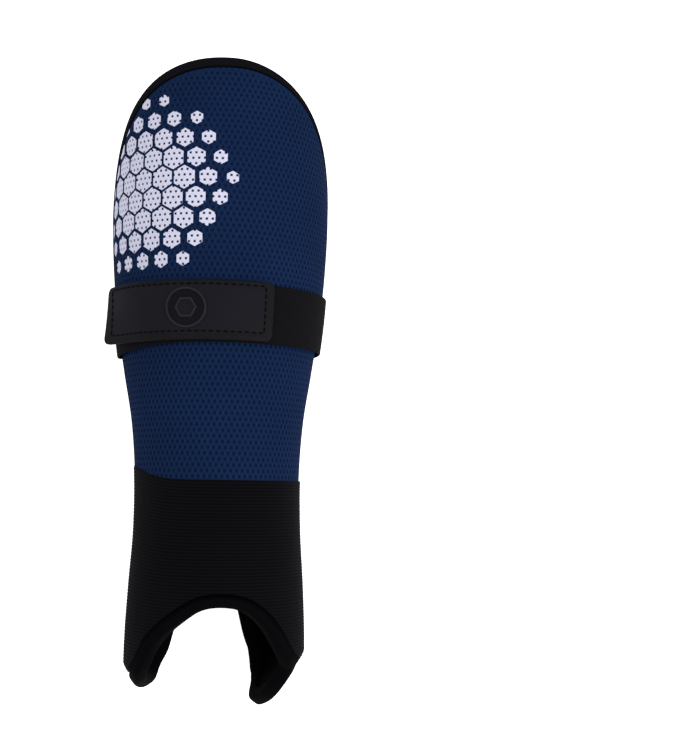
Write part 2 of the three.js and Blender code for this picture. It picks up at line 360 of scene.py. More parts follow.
@functools.cache
def edge_moved_in(angle, distance):
    """The station of the lower edge moved into the cloth by a distance."""
    highest = -math.inf
    for i in range(-EDGE_PROBES, EDGE_PROBES + 1):
        aside = i / EDGE_PROBES
        turned = angle + math.degrees(aside * distance / ANKLE_RADIUS)
        lift = distance * math.sqrt(1 - aside**2)
        highest = max(highest, lower_edge_at(wrapped(turned)) + lift)
    return highest


def girth_radius(station):
    """The mean radius of the shell's front at a station."""
    half_width, crest, widest, _ = section_at(station)
    return (half_width + crest - widest) / 2


def dome_at(share, rise):
    """The station of the round top, at a share of the way from the crest to a side edge."""
    fullness = DOME_FULLNESS_LEFT if share < 0 else DOME_FULLNESS_RIGHT
    return DOME_STATION + rise * max(0, 1 - abs(share) ** fullness) ** (1 / fullness)


class Path:
    """A line of places on the guard, each an angle and a station, measured along it in millimetres."""

    def __init__(self, places, depth, closed=False, outermost=None):
        self.places = places
        self.depth = depth
        self.closed = closed
        self.floor = -math.inf if outermost is None else depth - outermost
        spots = [self.spot_at(*place) for place in places]
        self.marks = [0, *itertools.accumulate((b - a).length for a, b in zip(spots, spots[1:]))]
        self.length = self.marks[-1]

    def spot_at(self, angle, station):
        return skin(angle, station, self.depth, self.floor)

    def place_at(self, distance):
        """The angle and station at a distance along the path."""
        distance = distance % self.length if self.closed else min(max(distance, 0), self.length)
        i = min(bisect.bisect_right(self.marks, distance) - 1, len(self.marks) - 2)
        share = (distance - self.marks[i]) / (self.marks[i + 1] - self.marks[i])
        return [a + (b - a) * share for a, b in zip(self.places[i], self.places[i + 1])]

    def frame_at(self, distance):
        """The point, the outward direction and the direction to the path's right."""
        angle, station = self.place_at(distance)
        ahead, behind = self.place_at(distance + PROBE), self.place_at(distance - PROBE)
        tangent = (self.spot_at(*ahead) - self.spot_at(*behind)).normalized()
        round_leg = self.spot_at(angle + PROBE, station) - self.spot_at(angle - PROBE, station)
        along_leg = self.spot_at(angle, station + PROBE) - self.spot_at(angle, station - PROBE)
        outward = round_leg.cross(along_leg)
        outward = (outward - tangent * outward.dot(tangent)).normalized()
        return self.spot_at(angle, station), outward, tangent.cross(outward)


def eased(path):
    """The places of a path, spaced evenly and with its corners eased."""
    count = round(path.length)
    places = [path.place_at(path.length * i / count) for i in range(count + 1)]
    for _ in range(EASING_PASSES):
        inner = [
            [(a + 2 * b + c) / 4 for a, b, c in zip(*three)]
            for three in zip(places, places[1:], places[2:])
        ]
        places = [places[0], *inner, places[-1]]
    return places


def flat_cut(length, width, columns, rows):
    """A flat cut in millimetres about its own middle."""
    mesh = bmesh.new()
    size = Matrix.Diagonal((length, width, 1, 1))
    bmesh.ops.create_grid(mesh, x_segments=columns, y_segments=rows, size=0.5, matrix=size)
    return mesh


def keep_flat_places(mesh):
    """Keeps the flat place of each corner, in millimetres, as the UV map that patterns follow."""
    layer = mesh.loops.layers.uv.new(FLAT_MAP)
    for face in mesh.faces:
        for corner in face.loops:
            corner[layer].uv = corner.vert.co.xy


def bend(mesh, place):
    """Moves every vertex of a flat cut to its place on the guard."""
    for vertex in mesh.verts:
        vertex.co = to_frame(place(*vertex.co))


def close_up(mesh):
    """Welds a bent cut where it meets itself, closes its open ends and turns its faces outwards."""
    bmesh.ops.remove_doubles(mesh, verts=mesh.verts, dist=WELD)
    bmesh.ops.dissolve_degenerate(mesh, edges=mesh.edges, dist=WELD)
    bmesh.ops.holes_fill(mesh, edges=[edge for edge in mesh.edges if edge.is_boundary])
    bmesh.ops.recalc_face_normals(mesh, faces=mesh.faces)


def make_piece(name, mesh, materials, node=None):
    """Turns a bmesh into a piece that rides on the guard, and that stands for a solid of the frame."""
    data = bpy.data.meshes.new(name)
    mesh.to_mesh(data)
    mesh.free()
    for material in materials:
        data.materials.append(material)
    data.shade_smooth()
    data.set_sharp_from_angle(angle=math.radians(SHARP_ANGLE))
    piece = bpy.data.objects.new(name, data)
    bpy.context.collection.objects.link(piece)
    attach(piece, "root")
    if node:
        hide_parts(node)
    return piece


def rounded(turn, squareness):
    """A point on a round-cornered square of half width 1, which is a circle where squareness is 2."""
    cosine, sine = math.cos(turn), math.sin(turn)
    power = 2 / squareness
    return math.copysign(abs(cosine) ** power, cosine), math.copysign(abs(sine) ** power, sine)


def bead(path, width_at, thickness, squareness):
    """A folded tape as a closed bead along a path, whose width goes by the angle round the leg."""
    columns = round(path.length / BEAD_STEP)
    girth = 2 * (width_at(0) + thickness)
    mesh = flat_cut(path.length, girth, columns, BEAD_SIDES)
    keep_flat_places(mesh)
    frame_at = functools.cache(path.frame_at)

    def place(x, y, _):
        distance = x + path.length / 2
        spot, outward, right = frame_at(distance)
        width = width_at(path.place_at(distance)[0])
        aside, out = rounded(2 * math.pi * y / girth, squareness)
        return spot + right * (aside * width / 2) + outward * (out * thickness / 2)

    bend(mesh, place)
    close_up(mesh)
    return mesh


def tube(length, section):
    """A flat cut folded to a closed section, which lists places across the cut and out of it."""
    rows = len(section)
    mesh = flat_cut(length, rows, LEG_COLUMNS, rows)
    for vertex in mesh.verts:
        vertex.co.yz = section[round(vertex.co.y + rows / 2) % rows]
    keep_flat_places(mesh)
    return mesh


def half_round(thickness):
    """Places aside and out on a half-round edge, between its two ends."""
    turns = [math.pi * i / HALF_ROUND_STEPS for i in range(1, HALF_ROUND_STEPS)]
    return [(math.sin(turn) * thickness / 2, (1 - math.cos(turn)) * thickness / 2) for turn in turns]


def between_ribs(across, pitch, height):
    """How far a face sinks between its ribs."""
    return height * (1 - abs(math.sin(math.pi * across / pitch)))


def cover_limits(station, inset):
    """The widest angle and the highest rise of the shell's outline, moved in."""
    drop = section_at(station)[3]
    return SHELL_WRAP - math.degrees(inset / drop), GUARD_LENGTH - DOME_STATION - inset


def tape_width(angle):
    """The width of the edge tape, which narrows from the crest to the right shoulder."""
    share = min(max(angle / TAPE_NARROW_ANGLE, 0), 1)
    return TAPE_WIDTH + (TAPE_WIDTH_RIGHT - TAPE_WIDTH) * share


def past_outline(x, station, inset=COVER_TUCK):
    """How far out a flat place of the cover is: over 1 it lies outside the outline moved in."""
    widest, rise = cover_limits(station, inset)
    share = math.degrees(x / girth_radius(station)) / widest
    fullness = DOME_FULLNESS_LEFT if share < 0 else DOME_FULLNESS_RIGHT
    climb = max(station - DOME_STATION, 0) / rise
    return (abs(share) ** fullness + climb**fullness) ** (1 / fullness)


def onto_outline(x, station):
    """A flat place of the cover, moved onto the outline if it lies past it, and up to the seam if below."""
    out = past_outline(x, station)
    if out > 1:
        angle = math.degrees(x / girth_radius(station)) / out
        if station > DOME_STATION:
            station = DOME_STATION + (station - DOME_STATION) / out
        x = math.radians(angle) * girth_radius(station)
    angle = math.degrees(x / girth_radius(station))
    return x, max(station, SEAM_STATION + seam_lift(angle) - COVER_UNDER_SLEEVE)


def is_hole(face):
    """Whether a face of the flat cover is a hole: each row of holes is set off by half a pitch."""
    middle = face.calc_center_median()
    column = math.floor(middle.x / STEP_ACROSS)
    row = math.floor(middle.y / STEP_ALONG)
    whole = face.calc_area() > WHOLE_FACE * STEP_ACROSS * STEP_ALONG
    angle = math.degrees(middle.x / girth_radius(middle.y))
    clear_of_tape = past_outline(middle.x, middle.y, tape_width(angle) + HOLE_TAPE_GAP) < 1
    return whole and clear_of_tape and (column % FACES_ACROSS, row % FACES_ALONG) in HOLE_FACES


def shin_shell():
    """The padded shell: a cut of holed mesh in front, padding and plain backing behind it."""
    half_girth = math.radians(SHELL_WRAP) * max(girth_radius(station) for station in STATIONS)
    half_columns = math.ceil(half_girth / STEP_ACROSS)
    first_row = math.floor((SEAM_STATION - COVER_UNDER_SLEEVE) / STEP_ALONG)
    last_row = math.ceil(GUARD_LENGTH / STEP_ALONG)
    length, width = 2 * half_columns * STEP_ACROSS, (last_row - first_row) * STEP_ALONG
    mesh = flat_cut(length, width, 2 * half_columns, last_row - first_row)
    middle = (first_row + last_row) / 2 * STEP_ALONG
    bmesh.ops.translate(mesh, verts=mesh.verts, vec=(0, middle, 0))
    outside = []
    for face in mesh.faces:
        x, station, _ = face.calc_center_median()
        below = station < onto_outline(x, station)[1] - STEP_ALONG / 2
        if past_outline(x, station) > 1 or below:
            outside.append(face)
    bmesh.ops.delete(mesh, geom=outside, context="FACES")
    for vertex in mesh.verts:
        vertex.co.xy = onto_outline(vertex.co.x, vertex.co.y)
    bmesh.ops.solidify(mesh, geom=mesh.faces[:], thickness=SHELL_THICKNESS)
    front = [face for face in mesh.faces if face.normal.z > FRONT_RISE]
    holes = [face for face in front if is_hole(face)]
    for face in mesh.faces:
        face.material_index = BACKING
    for face in front:
        face.material_index = COVER
    bmesh.ops.inset_individual(mesh, faces=holes, thickness=HOLE_RIM, depth=-HOLE_DEPTH)
    for face in holes:
        face.material_index = FOAM
    keep_flat_places(mesh)
    bend(mesh, lambda x, y, z: skin(math.degrees(x / girth_radius(y)), y, -z))
    return mesh


def edge_tape():
    """The tape folded over the shell's free edge: up the left, over the round top and down the right."""
    sides = range(SEAM_STATION, DOME_STATION, TAPE_SIDE_STEP)
    shares = [math.sin(math.pi * (i / FINE_STEPS - 0.5)) for i in range(FINE_STEPS + 1)]
    insets = [tape_width(SHELL_WRAP * share) / 2 for share in shares]
    rises = [cover_limits(DOME_STATION, inset + TAPE_PULL)[1] for inset in insets]
    line = [(-1, station, insets[0]) for station in sides]
    line += [(share, dome_at(share, rise), inset) for share, rise, inset in zip(shares, rises, insets)]
    line += [(1, station, insets[-1]) for station in reversed(sides)]
    places = [(share * cover_limits(station, inset)[0], station) for share, station, inset in line]
    path = Path(places, SHELL_THICKNESS / 2)
    return bead(path, tape_width, SHELL_THICKNESS + 2 * TAPE_PROUD, TAPE_SQUARENESS)


def strap_depth(station, out):
    """The depth of a spot out from the strap's inner face, which stands off the calf below its top edge."""
    from_top = (STRAP_STATION + STRAP_WIDTH / 2 - station) / STRAP_WIDTH
    return -(STRAP_LIFT + STRAP_FLARE * min(max(from_top, 0), 1) + out)


def strap_length():
    """The strap's length once round the calf."""
    spots = [skin(turn, STRAP_STATION, -STRAP_LIFT, 0) for turn in range(-180, 181)]
    return sum((b - a).length for a, b in zip(spots, spots[1:]))


def calf_strap():
    """The elastic strap, a whole loop whose ribs run along it."""
    straight = STRAP_WIDTH - STRAP_THICKNESS
    steps = round(ROWS_PER_RIB * straight / STRAP_RIB_PITCH)
    across = [straight * (i / steps - 0.5) for i in range(steps + 1)]
    inner = [(y, between_ribs(y, STRAP_RIB_PITCH, STRAP_RIB_HEIGHT)) for y in across]
    outer = [(y, STRAP_THICKNESS - out) for y, out in reversed(inner)]
    edge = half_round(STRAP_THICKNESS)
    upper = [(straight / 2 + y, out) for y, out in edge]
    lower = [(-straight / 2 - y, out) for y, out in reversed(edge)]
    length = strap_length()
    mesh = tube(length, inner + upper + outer + lower)

    def place(x, y, out):
        turn = 360 * x / length
        level = STRAP_STATION + y
        station = level - STRAP_DIP * leaning_left(turn, STRAP_DIP_POWER)
        return skin(turn, station, strap_depth(level, out), STRAP_THICKNESS - out)

    bend(mesh, place)
    close_up(mesh)
    return mesh


def tab_spot(along, across, out):
    """A spot on the tab: along from its right end, across its width, and out from the strap's outer face."""
    angle = TAB_START - math.degrees(along / TAB_RADIUS)
    leaves = TAB_LEAVES - TAB_TWIST * across / (TAB_WIDTH / 2)
    held = max(angle, leaves)
    station = TAB_STATION + across
    depth = strap_depth(station, STRAP_THICKNESS + TAB_GAP + out)
    spot = skin(held, station, depth)
    leaving = (skin(held - PROBE, station, depth) - spot).normalized()
    return spot + leaving * (math.radians(held - angle) * TAB_RADIUS)


def on_tab(x, y, z):
    """A flat place of the tab, x to the right from its middle, y towards the knee and z out."""
    return tab_spot(TAB_LENGTH / 2 - x, y, z)


def raise_face(mesh, face, height):
    """Extrudes a face upwards and gives back the raised face."""
    made = bmesh.ops.extrude_face_region(mesh, geom=[face], use_keep_orig=True)["geom"]
    lifted = [item for item in made if isinstance(item, bmesh.types.BMVert)]
    bmesh.ops.translate(mesh, verts=lifted, vec=(0, 0, height))
    top = next(item for item in made if isinstance(item, bmesh.types.BMFace))
    face.normal_flip()
    return top


def step_in(mesh, face, width, depth):
    """Insets a face and moves it down by a depth."""
    bmesh.ops.inset_region(mesh, faces=[face], thickness=width, use_even_offset=True)
    bmesh.ops.translate(mesh, verts=face.verts, vec=(0, 0, -depth))


def round_off(mesh, edges, radius, segments=ROUND_STEPS):
    """Rounds edges off to a radius."""
    bmesh.ops.bevel(
        mesh, geom=edges, offset=radius, affect="EDGES", segments=segments, profile=0.5, material=-1
    )


def polish_and_paint_highlight(edges):
    """Gives the faces beside raised edges the glossier finish of rubbed rubber and a lighter colour, a
    painted highlight.
    """
    for edge in edges:
        for face in edge.link_faces:
            face.material_index = RUBBED_WITH_PAINTED_HIGHLIGHT


def badge(mesh):
    """The round badge on the tab: a raised rim, a sunk ring and a six-sided boss."""
    lift = TAB_THICKNESS - PANEL_DROP
    centre = Vector((TAB_LENGTH / 2 - BADGE_ALONG, BADGE_OFFSET, lift - BADGE_SUNK))
    seat = Matrix.Translation(centre)
    made = bmesh.ops.create_circle(
        mesh, cap_ends=True, segments=BADGE_SIDES, radius=BADGE_RADIUS, matrix=seat
    )
    disc = raise_face(mesh, made["verts"][0].link_faces[0], BADGE_SUNK + BADGE_RELIEF)
    rim = disc.edges[:]
    step_in(mesh, disc, BADGE_RIM, 0)
    rim += disc.edges[:]
    polish_and_paint_highlight(rim)
    # The sunk ring is given darker rubber: painted shade.
    disc.material_index = RECESS_PAINTED_SHADE
    step_in(mesh, disc, RING_WALL, RING_DEPTH)
    step_in(mesh, disc, RING_BORDER, 0)
    round_off(mesh, rim, BADGE_RIM_ROUND)
    boss_base = centre + Vector((0, 0, BADGE_SUNK / 2))
    seat = Matrix.Translation(boss_base) @ Matrix.Rotation(math.pi / BOSS_SIDES, 4, "Z")
    made = bmesh.ops.create_circle(
        mesh, cap_ends=True, segments=BOSS_SIDES, radius=BOSS_RADIUS, matrix=seat
    )
    boss = raise_face(mesh, made["verts"][0].link_faces[0], BADGE_SUNK / 2 + BOSS_RELIEF)
    crown = boss.edges[:]
    step_in(mesh, boss, BOSS_RIM, 0)
    crown += boss.edges[:]
    polish_and_paint_highlight(crown)
    boss.material_index = PANEL
    step_in(mesh, boss, BOSS_WALL, BOSS_DEPTH)
    round_off(mesh, crown, BOSS_RIM_ROUND)


def pull_tab():
    """The moulded tab: a rounded border, a sewn groove inside it, a flat panel and a badge."""
    mesh = flat_cut(TAB_LENGTH, TAB_WIDTH, 1, 1)
    bmesh.ops.bevel(
        mesh, geom=mesh.verts[:], offset=TAB_CORNER, affect="VERTICES",
        segments=TAB_CORNER_STEPS, profile=0.5, material=-1,
    )
    top = raise_face(mesh, mesh.faces[:][0], TAB_THICKNESS)
    edge = top.edges[:]
    border = TAB_CORNER - PANEL_CORNER
    step_in(mesh, top, border, 0)
    for face in mesh.faces:
        face.material_index = PANEL if face == top else BORDER
    wholes = (TAB_LENGTH, TAB_WIDTH)
    shares = [(half + GROOVE_WIDTH / 2) / (whole / 2 - border) for half, whole in zip(PANEL_HALF, wholes)]
    bmesh.ops.scale(mesh, verts=top.verts, vec=(*shares, 1))
    bmesh.ops.translate(mesh, verts=top.verts, vec=(*PANEL_CENTRE, 0))
    step_in(mesh, top, GROOVE_WIDTH / 2, GROOVE_DEPTH)
    step_in(mesh, top, GROOVE_WIDTH / 2, PANEL_DROP - GROOVE_DEPTH)
    round_off(mesh, edge, TAB_EDGE_ROUND, TAB_EDGE_STEPS)
    badge(mesh)
    for direction, size in ((Vector((1, 0, 0)), TAB_LENGTH), (Vector((0, 1, 0)), TAB_WIDTH)):
        cuts = round(size / TAB_STEP)
        for i in range(1, cuts):
            geometry = [*mesh.verts, *mesh.edges, *mesh.faces]
            spot = direction * (size * (i / cuts - 0.5))
            bmesh.ops.bisect_plane(mesh, geom=geometry, plane_co=spot, plane_no=direction, dist=CUT_SNAP)
    keep_flat_places(mesh)
    bend(mesh, on_tab)
    return mesh


def tab_stitching():
    """The thread along the tab's groove, a short stitch at a time."""
    half_length, half_width = PANEL_HALF
    sides = [
        (Vector((1, 0, 0)), Vector((0, 1, 0)), half_width, half_length),
        (Vector((-1, 0, 0)), Vector((0, -1, 0)), half_width, half_length),
        (Vector((0, -1, 0)), Vector((1, 0, 0)), half_length, half_width),
        (Vector((0, 1, 0)), Vector((-1, 0, 0)), half_length, half_width),
    ]
    mesh = bmesh.new()
    size = Matrix.Diagonal((STITCH_LENGTH / 2, STITCH_THICKNESS / 2, STITCH_THICKNESS / 2, 1))
    lift = Vector((*PANEL_CENTRE, TAB_THICKNESS - GROOVE_DEPTH + STITCH_LIFT))
    for along, aside, away, half in sides:
        run = 2 * half
        count = round(run / (STITCH_LENGTH + STITCH_GAP))
        for i in range(count):
            spot = lift + aside * away + along * (run * ((i + 0.5) / count - 0.5))
            turn = Matrix.Rotation(math.atan2(along.y, along.x), 4, "Z")
            seat = Matrix.Translation(spot) @ turn @ size
            bmesh.ops.create_uvsphere(
                mesh, u_segments=STITCH_SIDES, v_segments=STITCH_RINGS, radius=1, matrix=seat
            )
    keep_flat_places(mesh)
    bend(mesh, on_tab)
    return mesh


def ankle_wall(outer, wall, step, relief):
    """A wall of the ankle, from a depth inwards: it hangs from the seam and is cut off inside the hem."""
    count = round(SLEEVE_HEIGHT / step)
    drops = [SLEEVE_HEIGHT * i / count for i in range(count + 1)]
    outside = [(drop, 0) for drop in reversed(drops)]
    over = [(-y, inward) for y, inward in half_round(wall)]
    inside = [(drop, wall) for drop in drops[:: round(LINING_STEP / step)]]
    length = 2 * math.pi * ANKLE_RADIUS
    mesh = tube(length, outside + over + inside)

    def place(x, drop, inward):
        angle = 360 * x / length
        lift = seam_lift(angle) * min(max(1 - drop / SEAM_LIFT_FADES, 0), 1)
        level = SEAM_STATION + lift - drop
        edge = edge_moved_in(angle, HEM_WIDTH - HEM_TUCK)
        ribbed = inward == 0 and level > edge
        depth = outer + (relief(drop) if ribbed else inward)
        return skin(angle, max(level, edge), depth, max(depth + SLEEVE_PROUD, 0))

    bend(mesh, place)
    close_up(mesh)
    return mesh


def ankle_sleeve():
    """The ribbed elastic round the ankle."""
    relief = functools.partial(between_ribs, pitch=SLEEVE_RIB_PITCH, height=SLEEVE_RIB_HEIGHT)
    return ankle_wall(-SLEEVE_PROUD, SLEEVE_WALL, SLEEVE_RIB_PITCH / ROWS_PER_RIB, relief)


def ankle_lining():
    """The smooth padding inside the sleeve."""
    return ankle_wall(SLEEVE_WALL + LINING_GAP - SLEEVE_PROUD, LINING_WALL, LINING_STEP, lambda drop: 0)


def arch_hem():
    """The rolled hem round the sleeve's lower edge."""
    outermost = -(SLEEVE_PROUD + HEM_PROUD)
    thickness = SLEEVE_WALL + LINING_GAP + LINING_WALL + 2 * HEM_PROUD
    depth = outermost + thickness / 2
    angles = [360 * i / FINE_STEPS - 180 for i in range(FINE_STEPS + 1)]
    edge = Path([(angle, edge_moved_in(angle, HEM_WIDTH / 2)) for angle in angles], depth)
    path = Path(eased(edge), depth, closed=True, outermost=outermost)
    return bead(path, lambda angle: HEM_WIDTH, thickness, HEM_SQUARENESS)


def linear(code):
    """An sRGB hex colour as linear red, green, blue and alpha."""
    shares = [int(code[i : i + 2], 16) / 255 for i in (1, 3, 5)]
    return (*[s / 12.92 if s <= 0.04045 else ((s + 0.055) / 1.055) ** 2.4 for s in shares], 1)


def new_material(name, **sockets):
    """A material with its even values set on the shader's own sockets."""
    material = bpy.data.materials.new(name)
    material.use_nodes = True
    shader = material.node_tree.nodes["Principled BSDF"]
    for socket, value in sockets.items():
        shader.inputs[socket.replace("_", " ")].default_value = value
    return material


def pattern_material(name, **sockets):
    """A material, and the flat place in millimetres that its patterns follow."""
    material = new_material(name, **sockets)
    return material, add(material, "UVMap", {"uv_map": FLAT_MAP}, {})


def add(material, kind, settings, inputs):
    """Adds a node with its settings, values and links, and gives back its first output in use."""
    node = material.node_tree.nodes.new("ShaderNode" + kind)
    for name, value in settings.items():
        setattr(node, name, value)
    for socket, value in inputs.items():
        if isinstance(value, bpy.types.NodeSocket):
            material.node_tree.links.new(value, node.inputs[socket])
        else:
            node.inputs[socket].default_value = value
    return next(output for output in node.outputs if output.enabled)


def surface(material, colour, height, dullness, relief):
    """Wires a colour, and a height of 0 to 1 whose high places are smoother and stand up by the relief."""
    links = material.node_tree.links
    shader = material.node_tree.nodes["Principled BSDF"]
    rough = add(
        material, "MapRange", {},
        {"Value": height, "To Min": dullness + DULLNESS_SPREAD, "To Max": dullness - DULLNESS_SPREAD},
    )
    bump = add(material, "Bump", {}, {"Height": height, "Strength": 1, "Distance": relief * MM})
    links.new(colour, shader.inputs["Base Color"])
    links.new(rough, shader.inputs["Roughness"])
    links.new(bump, shader.inputs["Normal"])


def weighed(material, *parts):
    """Adds up outputs, each times its weight."""
    total = 0
    for output, weight in parts:
        total = add(material, "Math", {"operation": "MULTIPLY_ADD"}, {0: output, 1: weight, 2: total})
    return total


def hexagon_mask(material, flat):
    """1 inside the printed hexagons, whose size goes by how far their middles are from the patch's."""
    cell = Vector((HEX_PITCH, HEX_PITCH * math.sqrt(3), 1))
    half = Vector((cell.x / 2, cell.y / 2, 0))
    pushed = add(material, "VectorMath", {"operation": "ADD"}, {0: flat, 1: half})
    first = add(material, "VectorMath", {"operation": "SNAP"}, {0: pushed, 1: cell})
    snapped = add(material, "VectorMath", {"operation": "SNAP"}, {0: flat, 1: cell})
    second = add(material, "VectorMath", {"operation": "ADD"}, {0: snapped, 1: half})
    to_first = add(material, "VectorMath", {"operation": "DISTANCE"}, {0: flat, 1: first})
    to_second = add(material, "VectorMath", {"operation": "DISTANCE"}, {0: flat, 1: second})
    nearer = add(material, "Math", {"operation": "LESS_THAN"}, {0: to_first, 1: to_second})
    middle = add(
        material, "Mix", {"data_type": "VECTOR"},
        {FACTOR: nearer, VECTOR_A: second, VECTOR_B: first},
    )
    offset = add(material, "VectorMath", {"operation": "SUBTRACT"}, {0: flat, 1: middle})
    across = add(material, "VectorMath", {"operation": "DOT_PRODUCT"}, {0: offset, 1: (1, 0, 0)})
    along = add(material, "VectorMath", {"operation": "DOT_PRODUCT"}, {0: offset, 1: (0, 1, 0)})
    aside = add(material, "Math", {"operation": "ABSOLUTE"}, {0: across})
    up = add(material, "Math", {"operation": "ABSOLUTE"}, {0: along})
    slant = weighed(material, (aside, 0.5), (up, math.sqrt(3) / 2))
    reach = add(material, "Math", {"operation": "MAXIMUM"}, {0: aside, 1: slant})
    away = add(material, "VectorMath", {"operation": "DISTANCE"}, {0: middle, 1: HEX_CENTRE})
    limit = add(
        material, "MapRange", {},
        {
            "Value": away, "From Min": HEX_FULL_REACH, "From Max": HEX_REACH,
            "To Min": HEX_LARGEST, "To Max": HEX_SMALLEST,
        },
    )
    printed = add(material, "Math", {"operation": "LESS_THAN"}, {0: away, 1: HEX_REACH})
    inside = add(material, "Math", {"operation": "LESS_THAN"}, {0: reach, 1: limit})
    return add(material, "Math", {"operation": "MULTIPLY"}, {0: printed, 1: inside})


def mesh_lands(material, flat):
    """1 on the raised lands between the holes of the mesh, falling to 0 at the holes."""
    first_hole = (STEP_ACROSS / 2, STEP_ALONG / 2, 0)
    from_hole = add(material, "VectorMath", {"operation": "SUBTRACT"}, {0: flat, 1: first_hole})
    waves = []
    for side in (1, -1):
        turns = (2 * WAVE_LENGTH / HOLE_PITCH_ACROSS, side * 2 * WAVE_LENGTH / HOLE_PITCH_ALONG, 0)
        slanted = add(material, "VectorMath", {"operation": "MULTIPLY"}, {0: from_hole, 1: turns})
        waves.append(add(
            material, "TexWave", {"bands_direction": "DIAGONAL"}, {"Vector": slanted, "Scale": 1}
        ))
    return weighed(material, (waves[0], 0.5), (waves[1], 0.5))


def printed_air_mesh():
    """Warp-knitted polyester mesh, dyed navy and screen printed in white: dull yarn with raised lands."""
    material, flat = pattern_material("printed_air_mesh", Sheen_Weight=0.004, Specular_IOR_Level=0.02)
    yarn = add(material, "TexNoise", {}, {"Vector": flat, "Scale": 1 / YARN, "Detail": 2})
    patch = add(material, "TexNoise", {}, {"Vector": flat, "Scale": 1 / DYE_PATCH, "Detail": 1})
    lands = mesh_lands(material, flat)
    # The lands are painted lighter and the cloth towards each hole darker, a painted highlight and shade; the
    # yarn and dye patches vary the tone at random.
    tone_with_painted_shade = weighed(material, (lands, 0.36), (yarn, 0.36), (patch, 0.28))
    cloth = add(
        material, "Mix", {"data_type": "RGBA"},
        {FACTOR: tone_with_painted_shade, COLOUR_A: linear("#08152b"), COLOUR_B: linear("#1a305a")},
    )
    ink = add(
        material, "Mix", {"data_type": "RGBA"},
        {FACTOR: yarn, COLOUR_A: linear("#ccccea"), COLOUR_B: linear("#ececfc")},
    )
    colour = add(
        material, "Mix", {"data_type": "RGBA"},
        {FACTOR: hexagon_mask(material, flat), COLOUR_A: cloth, COLOUR_B: ink},
    )
    height = weighed(material, (lands, 0.7), (yarn, 0.3))
    surface(material, colour, height, dullness=0.75, relief=0.1)
    return material


def open_foam():
    """Navy foam seen down the holes of the mesh: small open cells, quite dull."""
    material, flat = pattern_material("open_foam", Specular_IOR_Level=0.02)
    cells = add(material, "TexVoronoi", {}, {"Vector": flat, "Scale": 1 / FOAM_CELL})
    colour = add(
        material, "Mix", {"data_type": "RGBA"},
        {FACTOR: cells, COLOUR_A: linear("#0b1529"), COLOUR_B: linear("#122040")},
    )
    surface(material, colour, cells, dullness=0.9, relief=0.05)
    return material


def brushed_nylon():
    """Loop-knitted nylon with its loops brushed up into a soft nap, which lies along the leg."""
    material, flat = pattern_material("brushed_nylon", Sheen_Weight=0.008, Specular_IOR_Level=0.01)
    combed = add(material, "VectorMath", {"operation": "MULTIPLY"}, {0: flat, 1: (1, 1 / NAP_STRETCH, 1)})
    nap = add(material, "TexNoise", {}, {"Vector": combed, "Scale": 1 / NAP, "Detail": 4})
    colour = add(
        material, "Mix", {"data_type": "RGBA"},
        {FACTOR: nap, COLOUR_A: linear("#020203"), COLOUR_B: linear("#070709")},
    )
    surface(material, colour, nap, dullness=0.88, relief=0.1)
    return material


def knitted_tape(name, low, high, course, seam_shade):
    """Narrow knitted tape folded over an edge: slanting stitches in two directions make rows of small vees,
    and it is painted black where it dives into its seam, a painted shade line."""
    material, flat = pattern_material(name, Sheen_Weight=0.008, Specular_IOR_Level=0.015)
    vees = []
    for slant in (KNIT_SLANT, -KNIT_SLANT):
        turned = add(
            material, "VectorRotate", {"rotation_type": "Z_AXIS"},
            {"Vector": flat, "Angle": math.radians(slant)},
        )
        vees.append(add(
            material, "TexWave", {"bands_direction": "X"},
            {"Vector": turned, "Scale": WAVE_LENGTH / course, "Distortion": 0.6, "Detail": 1},
        ))
    fuzz = add(material, "TexNoise", {}, {"Vector": flat, "Scale": 1 / KNIT_FUZZ, "Detail": 3})
    height = weighed(material, (vees[0], 0.35), (vees[1], 0.35), (fuzz, 0.3))
    # Painted shade: the tape is darkened to black where it dives into its seam.
    across = add(material, "VectorMath", {"operation": "DOT_PRODUCT"}, {0: flat, 1: (0, 1, 0)})
    clear_of_painted_shade = add(material, "MapRange", {}, {"Value": across, "From Min": seam_shade[0], "From Max": seam_shade[1]})
    tone_with_painted_shade = add(material, "Math", {"operation": "MULTIPLY"}, {0: height, 1: clear_of_painted_shade})
    colour = add(
        material, "Mix", {"data_type": "RGBA"},
        {FACTOR: tone_with_painted_shade, COLOUR_A: linear(low), COLOUR_B: linear(high)},
    )
    surface(material, colour, height, dullness=0.85, relief=0.12)
    return material


def ribbed_elastic(name, low, high, rib, pick, sheen):
    """Elastic with rubber cords in its ribs, bound by finer threads across them; the threads and the rib
    crests are painted a little lighter, a painted highlight.
    """
    material, flat = pattern_material(name, Sheen_Weight=sheen, Specular_IOR_Level=0.02)
    ribs = add(
        material, "TexWave", {"bands_direction": "Y"}, {"Vector": flat, "Scale": WAVE_LENGTH / rib}
    )
    picks = add(
        material, "TexWave", {"bands_direction": "X"},
        {"Vector": flat, "Scale": WAVE_LENGTH / pick, "Distortion": 1.5, "Detail": 2},
    )
    fuzz = add(material, "TexNoise", {}, {"Vector": flat, "Scale": 1 / ELASTIC_FUZZ, "Detail": 3})
    wear = add(material, "TexNoise", {}, {"Vector": flat, "Scale": 1 / ELASTIC_WEAR, "Detail": 2})
    # The ribs and picks lighten the colour: painted highlight; the fuzz and wear patches vary it at random.
    height = weighed(material, (ribs, 0.5), (picks, 0.15), (fuzz, 0.2), (wear, 0.15))
    colour = add(
        material, "Mix", {"data_type": "RGBA"},
        {FACTOR: height, COLOUR_A: linear(low), COLOUR_B: linear(high)},
    )
    surface(material, colour, height, dullness=0.78, relief=0.08)
    return material


